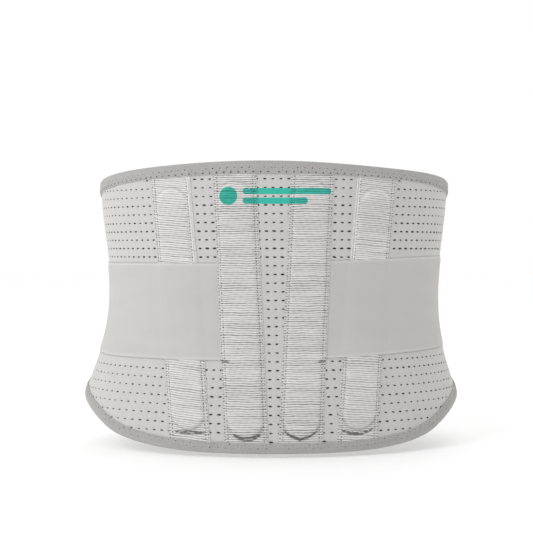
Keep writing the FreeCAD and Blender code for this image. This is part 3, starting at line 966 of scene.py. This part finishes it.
def tape_grid(row):
    """Places on a tape: the distance from its middle line and the height, with ends that follow the rim."""
    wide = TAPES[row][2]
    q = np.linspace(-wide / 2, wide / 2, 31)
    q = np.sort(np.concatenate([q, -wide / 2 + HEM_COLUMNS, [wide / 2 - 0.4]]))
    middle_u = u_at_x(tape_middle(row, 0.0), 0.0)
    high, deep = float(top_z(middle_u)) - TAPE_TUCKED, float(low_z(middle_u)) + TAPE_TUCKED
    z_mid = np.linspace(deep, high, int((high - deep) / TAPE_STEP))[:, None]
    share = (z_mid - deep) / (high - deep)
    z_top = top_z(u_at_x(tape_middle(row, high) + q, high)) - TAPE_TUCKED
    z_low = low_z(u_at_x(tape_middle(row, deep) + q, deep)) + TAPE_TUCKED
    z = z_mid + smooth((share - 0.8) / 0.2) * (z_top - high) + smooth((0.2 - share) / 0.2) * (z_low - deep)
    return np.broadcast_to(q, z.shape), z


def tape_darkness(row, q, z, groove_and_shade):
    """How dark a tape's lines are: painted shade in its grooves, a line along the hem, painted shade and
    highlight along the stay's outline, and painted shade at a small tuck at the strap.
    """
    wide = TAPES[row][2]
    distance, past_low, past_top = stay_distance(row, q, z)
    if row == "outer":
        from_edge = q + wide / 2
        hem_line = 0.55 * bell(from_edge, 1.7, 0.3)
        groove_and_shade = groove_and_shade + (hem_line - groove_and_shade) * smooth((3.7 - from_edge) / 0.8) * smooth((z + 20) / 30)
    # painted shade just outside the stay's upper and lower ends, painted highlight just inside its upper end
    outline = 0.16 * bell(distance, 0.9, 0.8) * smooth((past_top - 3) / 5)
    outline -= 0.12 * bell(distance, -1.6, 1.3) * smooth((past_top - 2) / 5)
    outline += 0.22 * bell(distance, 0.8, 0.9) * smooth((past_low - 1) / 5)
    # painted shade along the small tuck that the strap's lower corner pulls into the centre tapes
    tuck = bell(z + 0.25 * np.sin(q * 1.7), TUCK_Z, 0.9) * smooth((q - wide / 2 + 9) / 4) * (row == "centre")
    return groove_and_shade + outline + 0.75 * tuck


def make_tape(row, side, seed):
    sign, wide, name = SIDES[side], TAPES[row][2], f"{row}_{side}"
    q, z = tape_grid(row)
    x = tape_middle(row, z) + q
    u = sign * u_at_x(x, z)
    groove_and_shade, dark = rib_field(q, z, seed, sign * RIB_SLANT if row == "outer" else 0.0)
    flat_edge = smooth((wide / 2 - np.abs(q)) / 2.2)
    fold = end_fold_and_shadow(name, sign * q, z)
    base = tape_height(row, side, q, z)
    ruck = 0.10 * np.sin(z * 0.9 + seed) * np.sin(q * 0.35 + seed)
    outer = surface(u, z, base + ruck + 0.16 - 0.42 * groove_and_shade * dark * (0.3 + 0.7 * flat_edge) - 0.75 * fold)
    inner = surface(u, z, np.maximum(base - 1.3, 1.62))
    uv = np.stack([sign * x, z], -1)
    piece = thick_sheet(f"tape_{name}", outer, inner, uv, PAINT["tape"], flip=sign < 0)
    # painted shade of the rib grooves, weaker on the outer tapes
    lines = groove_and_shade * dark * (0.45 + 0.55 * flat_edge) * (0.97 if row == "centre" else 0.88)
    # the fold under the stay's end adds its painted shadow to the tape's painted shade
    set_values(piece, "groove_and_shade", np.clip(tape_darkness(row, q, z, lines) + 1.15 * fold, -0.4, 1.5))
    belongs(piece, "back", "channel_tape", f"{name}_channel")
    return piece


def make_tape_stitches(row, side):
    """Two lines of lockstitch down each edge of a tape, with dark needle-hole marks of painted shade between
    the stitches.
    """
    sign, wide = SIDES[side], TAPES[row][2]
    high = float(top_z(u_at_x(tape_middle(row, 100.0), 100.0))) - 10
    deep = float(low_z(u_at_x(tape_middle(row, -125.0), -125.0))) + 10

    def place(q, z):
        z = np.asarray(z, float)
        return sign * u_at_x(tape_middle(row, z) + q, z), z, tape_height(row, side, np.full(z.shape, q), z)

    threads, marks = [], []
    for edge in (-1, 1):
        for inset in (0.9, 3.3):
            q = edge * (wide / 2 - inset)
            z = deep + random.uniform(0, 2)
            while z < high - 2.4:
                plump = row == "outer" and edge < 0 and inset < 1 and z > 0
                u, ends, base = place(q, z + np.array([0, 0.5, 1.6, 2.1]) * (1.2 if plump else 1.0))
                line = surface(u, ends, base + np.array([0.0, 0.36, 0.36, 0.0]))
                threads.append(tube(line, np.array([0.12, 0.22, 0.22, 0.12]) * (PLUMP if plump else 1.0)))
                if not plump:
                    u, mark, out = (float(value) for value in place(q, z - 0.4))
                    marks.append(needle_hole_shade(u, mark, out + 0.24, random.uniform(0.38, 0.56)))
                z += TAPE_STITCH_PITCH
    return [
        sewing(f"stitches_{row}_{side}", threads, "back", "channel_tape", "tape_thread"),
        sewing(f"needle_hole_shades_{row}_{side}", marks, "back", "channel_tape", "tape_needle_shade"),
    ]


def make_tapes():
    for number, row in enumerate(TAPES):
        for side in SIDES:
            name = f"{row}_{side}"
            tape = make_tape(row, side, 1.7 + number * 2.3 + (side == "left") * 0.9)
            threads = make_tape_stitches(row, side)
            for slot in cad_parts[f"{name}_stay"].material_slots:
                slot.material = PAINT["stay"]


def front_sheet(name, x, low, high, rows, out, thick, material, flip=False):
    """A flat cloth on the front between two heights."""
    z = low[:, None] + (high - low)[:, None] * np.linspace(0, 1, rows)
    x = np.broadcast_to(x[:, None], z.shape)
    outer, inner = front_surface(x, z, out + thick), front_surface(x, z, out)
    return thick_sheet(name, outer, inner, np.stack([x, z], -1), material, flip)


def hook_patch(name, body, stands_for, x, low, high, rows, flip):
    """A patch of hook tape on the inner face of a tab."""
    low, high = np.full(len(x), low), np.full(len(x), high)
    hook = front_sheet(name, x, low, high, rows, HOOK_OUT, HOOK_THICK, PAINT["hook"], flip)
    belongs(hook, body, "hook_tape", stands_for)


def front_place(sign):
    """front_surface for one side, with x counted outwards from the middle."""
    return lambda x, z, out: front_surface(sign * x, z, out)


def seams(lines, place, lift):
    """Stitches along several lines."""
    return [stitch for line in lines for stitch in seam(line, place, lift)]


# ---------------------------------------------------------------- compression straps
TAB_ROOT, TAB_END, TAB_CORNER = 110.0, 54.0, 16.0
TAB_THICK, HOOK_OUT, HOOK_THICK = 1.15, 2.95, 0.8
STITCH_LIFT = 0.02  # how far a tab's stitches lie above it
STRAP_ROWS, STRAP_COLUMNS, STRAP_FLAT_HIGH, TAB_ROWS = 44, 150, 0.082, 44
SAG_LOW, SAG_HIGH = 0.3, 0.2


def strap_base(u, z):
    """Distance outwards of a strap's inner face: over knit, the outer tapes, and the loops in front."""
    x = x_at(u, z)
    middle, wide = tape_middle("outer", z), TAPES["outer"][2]
    over_tape = smooth((wide / 2 + 2.5 - np.abs(x - middle)) / 4.5)
    over_stay = smooth(0.5 - stay_distance("outer", x - middle, z)[0] / 5.0)
    over_loops = smooth((u - HALF_ROUND / 2 - 40) / 40)
    return 1.68 + 0.62 * over_tape + 0.3 * over_stay * over_tape + 2.1 * over_loops


def strap_heights(side, x):
    lean = STRAP_LEAN * x if side == "right" else 0 * x
    return STRAP_LOW + lean, STRAP_TOP + lean


def make_straps():
    start, end = float(u_at_x(37.0, 0.0)), float(u_at_x(TAB_ROOT - 6, 0.0, front=True))
    u = np.linspace(start, end, STRAP_COLUMNS)
    share = np.linspace(0, 1, STRAP_ROWS)
    at_top, at_low = smooth((1.0 - share) * STRAP_HIGH / 5), 0.45 + 0.55 * smooth(share * STRAP_HIGH / 3)
    thick = 0.3 + 0.8 * np.clip(np.minimum(at_top, at_low), 0, 1) * smooth((u[:, None] - 38) / 14)
    to_edge = np.minimum(share, 1 - share) * STRAP_HIGH
    streaks = 0.75 + 0.25 * np.sin(to_edge * 4.1)
    sag = 0.25 * np.sin(u * 0.05)
    for side, sign in SIDES.items():
        low, high = strap_heights(side, np.abs(surface(u, 0.0, 3.0)[:, 0]))
        if side == "left":
            low = low + 1.5 * smooth((u - 150) / 60)
        low, high = low + sag * SAG_LOW, high + sag * SAG_HIGH
        # rows closer together at the two edges
        z = low[:, None] + (high - low)[:, None] * (share - 0.04 * np.sin(2 * math.pi * share))
        ways = np.broadcast_to(u[:, None], z.shape)
        out = strap_base(ways, z)
        outer, inner = (surface(sign * ways, z, face) for face in (out + thick, out))
        uv = np.stack([ways, z], -1)
        piece = thick_sheet(f"strap_{side}", outer, inner, uv, PAINT["strap"], flip=sign > 0)
        # painted highlight along the strap's raised edges, in streaks
        set_values(piece, "edge_highlight", np.tile(smooth((4.5 - to_edge) / 2.5) * streaks, len(u)))
        belongs(piece, side, "strap_elastic", f"{side}_strap_back", f"{side}_strap_front")
        make_strap_tab(side, sign)


def rounded_tab(distance, low, high, corner):
    """Heights of a tab's two edges at a distance from its free end, with rounded corners."""
    cut = corner - np.sqrt(np.clip(corner**2 - np.clip(corner - distance, 0, corner) ** 2, 0, None))
    return low + cut, high - cut


def tab_columns(root, end, corner, count=40):
    """Distances from the free end, closer together round the corners."""
    near = corner * (1 - np.cos(np.linspace(0, math.pi / 2, 14)))
    far = np.linspace(corner, abs(root - end), count)[1:]
    return np.concatenate([near, far])[::-1]


GRIP_INNER = 68.0
# cross-section of a folded grip: (x, out), round the outside and back along the slot that holds the tab
GRIP_SECTION = np.array([
    (68.0, 5.3), (67.6, 5.78), (56.0, 5.8), (54.0, 5.5), (53.0, 4.4), (54.0, 3.3), (56.0, 3.0), (67.6, 3.0),
    (68.0, 3.5), (67.6, 3.8), (55.8, 3.8), (54.4, 4.4), (55.8, 5.02), (67.6, 5.02),
])


def tab_out(x):
    """Distance outwards of a strap tab's inner face: it climbs onto the strap's end, where it is sewn on."""
    return 3.85 + 1.25 * smooth((x - TAB_ROOT + 8) / 10)


def make_strap_tab(side, sign):
    body, place = f"{side}_strap_tab", front_place(sign)
    low0, high0 = (float(v) for v in strap_heights(side, TAB_ROOT))
    distance = tab_columns(TAB_ROOT + 10, TAB_END, TAB_CORNER)
    x = TAB_END + distance
    low, high = rounded_tab(distance, low0, high0, TAB_CORNER)
    name, out = f"strap_tab_{side}", tab_out(x)[:, None]
    tab = front_sheet(name, sign * x, low, high, TAB_ROWS, out, TAB_THICK, PAINT["strap"], sign > 0)
    lines = [[(x_line, low0 + 3), (x_line, high0 - 3)] for x_line in (108.5, 112.5, 116.5)]
    past_grip = distance > 16
    lines += [np.stack([x[past_grip], edge[past_grip]], -1) for edge in (low + 3, high - 3)]
    stitches = seams(lines, place, lambda x, z: tab_out(x) + TAB_THICK + STITCH_LIFT)
    threads = join_parts(f"strap_tab_stitches_{side}", stitches, PAINT["thread"])
    roots = (sign * float(u_at_x(TAB_ROOT + shift, 0.0, front=True)) for shift in (4, -14))
    start, end = (tuple(surface(u, -20.0, 5.0) * MM) for u in roots)
    for piece in (tab, threads):
        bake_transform(piece)
    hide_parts(body)
    flat = (STRAP_FLAT_HIGH, float(x.max() - x.min()) * 1.03 * MM)
    on = [f"loop_panel_{side}", f"strap_{side}"]

    x, flat = sign * np.linspace(105, 69, 40), (0.0385, 0.072)
    name, stands_for, on = f"strap_hook_{side}", f"{side}_strap_hook", f"strap_tab_{side}"
    hook_patch(name, body, stands_for, x, low0 + 5, high0 - 5, 30, sign > 0)

    z = -np.cos(np.linspace(0.16, math.pi - 0.16, 40)) * (high0 - low0 + 1.6) / 2 + (high0 + low0) / 2
    to_edge = np.clip(np.minimum(z - low0, high0 - z) + 0.8, 0, TAB_CORNER)
    cut_back = TAB_CORNER - np.sqrt(TAB_CORNER**2 - (TAB_CORNER - to_edge) ** 2)
    section_x, section_out = GRIP_SECTION.T
    x = section_x + cut_back[:, None] * (GRIP_INNER - section_x) / (GRIP_INNER - TAB_END)
    uv = np.stack(np.broadcast_arrays(x, z[:, None]), -1)
    points = place(x, z[:, None], section_out)
    grip = closed_band(f"strap_grip_{side}", points, uv, PAINT["binding"], flip=sign < 0)
    belongs(grip, body, "grip", f"{side}_strap_grip")
    lines = [[(x_line, low0 + 5), (x_line, high0 - 5)] for x_line in (62.2, 65.4)]
    threads = [sewing(f"strap_grip_stitches_{side}", seams(lines, place, 5.72), body, "grip")]


# ---------------------------------------------------------------- front: loop panels and closing tab
CLOSING_BASE, CLOSING_ROOT, CLOSING_END, CLOSING_HIGH = -48.0, -30.0, 45.0, 50.0


def make_loops():
    near = 13.4 + 18.5 * (1 - np.cos(np.linspace(0.05, math.pi / 2, 16)))
    x = np.concatenate([near, np.linspace(33, 142, 60)])
    u = u_at_x(x, 0 * x, front=True)
    low, high = low_z(u, LOW_BINDING_HIGH + 0.3), top_z(u, BINDING_HIGH + 0.3)
    inside = (x > 15) & (x < 139)
    lines = [np.stack([x, edge], -1)[inside] for edge in (low + 2.2, high - 2.2)]
    lines.append(np.stack([np.full(30, 139.6), np.linspace(low[-1] + 2.5, high[-1] - 2.5, 30)], -1))
    for side, sign in SIDES.items():
        wing = f"{side}_wing"
        piece = front_sheet(f"loop_panel_{side}", sign * x, low, high, 50, 1.7, 0.85, PAINT["loop"], sign < 0)
        belongs(piece, wing, "loop_pile", f"{side}_loop_panel")
        threads = [sewing(f"loop_stitches_{side}", seams(lines, front_place(sign), 2.6), wing, "loop_pile")]


def inset_outline(x, low, high, inset):
    """The closing tab's outline a little inside its edge, from its root round the free end and back."""
    line = np.concatenate([np.stack([x, high], -1), np.stack([x, low], -1)[::-1]])
    along = unit(np.gradient(line, axis=0))
    return line - inset * np.stack([-along[:, 1], along[:, 0]], -1)


def closing_out(x):
    """Distance outwards of the closing tab's inner face: its base lies on the left wing's loops."""
    return 3.8 - 1.1 * smooth((CLOSING_ROOT - 2 - x) / 8)


def make_closing_tab():
    distance = tab_columns(CLOSING_BASE, CLOSING_END, TAB_CORNER, 50)
    x = CLOSING_END - distance
    low, high = rounded_tab(distance, -CLOSING_HIGH, CLOSING_HIGH, TAB_CORNER)
    out = closing_out(x)[:, None]
    tab = front_sheet("closing_tab_cloth", x, low, high, 50, out, TAB_THICK, PAINT["strap"])
    lines = [inset_outline(x, low, high, inset) for inset in (2.6, 5.0)]
    lines += [[(x_line, -CLOSING_HIGH + 6), (x_line, CLOSING_HIGH - 6)] for x_line in (-45.5, -40.5, -35.5)]
    stitches = seams(lines, front_surface, lambda x, z: closing_out(x) + TAB_THICK + STITCH_LIFT)
    threads = join_parts("closing_tab_stitches", stitches, PAINT["thread"])
    root_y = float(front_surface(CLOSING_ROOT, 0.0, 5.0)[1])
    for piece in (tab, threads):
        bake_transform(piece)
    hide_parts("closing_tab", "closing_tab_base")
    name, x, flat = "closing_hook_cloth", np.linspace(14, 37, 30), (0.0235, 0.084)
    hook_patch(name, "closing_tab", "closing_tab_hook", x, -42.0, 42.0, 60, False)


# ---------------------------------------------------------------- camera, lights and floor
PICTURE = 533  # the photo's side in pixels
SENSOR = 36.0
CAMERA_Y, CAMERA_Z = -1187.5, 30.2
FOCAL, SHIFT_X, SHIFT_Y = 1285.7, -7, -14.5  # in pixels
# name, place in metres, size in metres and power in watts
LAMPS = [("key", (-1.5, -1.3, 1.5), 1.0, 10), ("front_fill", (0.3, 2.0, 1.4), 1.6, 8)]
FLOOR_REACH, FLOOR_Z = 9.0, -0.1402


def light_room(tree):
    """White studio walls. The wall behind the camera is brighter to its left than to its right."""
    room = Nodes(tree)
    background = tree.nodes["Background"]
    place = room.node("ShaderNodeSeparateXYZ", Vector=room.node("ShaderNodeTexCoord").outputs["Generated"])
    behind = room.ranged(place.outputs["Y"], 0.0, 1.0, 0.0, -0.7)
    behind.node.interpolation_type = "SMOOTHSTEP"
    sideways = room.ranged(place.outputs["X"], 0.26, -0.74, -0.8, 0.8)
    room.put(background.inputs["Strength"], room.maths("ADD", 1.0, room.times(behind, sideways)))
    background.inputs["Color"].default_value = (1, 1, 1, 1)


def make_stage():
    scene = bpy.context.scene
    camera = bpy.data.cameras.new("camera")
    camera.sensor_width = SENSOR
    camera.lens = SENSOR * FOCAL / PICTURE
    camera.shift_x, camera.shift_y = SHIFT_X / PICTURE, SHIFT_Y / PICTURE
    scene.camera = add_object("camera", camera)
    scene.camera.location = (0, CAMERA_Y * MM, CAMERA_Z * MM)
    scene.camera.rotation_euler = (math.radians(90), 0, 0)

    scene.world = bpy.data.worlds.new("studio")
    scene.world.use_nodes = True
    light_room(scene.world.node_tree)
    for name, place, size, power in LAMPS:
        light = bpy.data.lights.new(name, "AREA")
        light.size, light.energy = size, power
        lamp = add_object(name, light)
        lamp.location = place
        lamp.rotation_euler = (-Vector(place)).to_track_quat("-Z", "Y").to_euler()

    paint = bpy.data.materials.new("floor")
    paint.use_nodes = True
    shader = paint.node_tree.nodes["Principled BSDF"]
    shader.inputs["Base Color"].default_value = (0.93, 0.93, 0.93, 1)
    shader.inputs["Roughness"].default_value = 0.9
    shader.inputs["Emission Color"].default_value = (1, 1, 1, 1)
    shader.inputs["Emission Strength"].default_value = 0.12
    mesh = bpy.data.meshes.new("floor")
    corners = [(x * FLOOR_REACH, y * FLOOR_REACH, FLOOR_Z) for x, y in ((-1, -1), (1, -1), (1, 1), (-1, 1))]
    mesh.from_pydata(corners, [], [(0, 1, 2, 3)])
    mesh.materials.append(paint)
    floor = add_object("floor", mesh)
    scene.view_settings.view_transform = "Standard"


make_stage()
make_knit()
make_bindings()
make_tapes()
make_straps()
make_loops()
make_closing_tab()
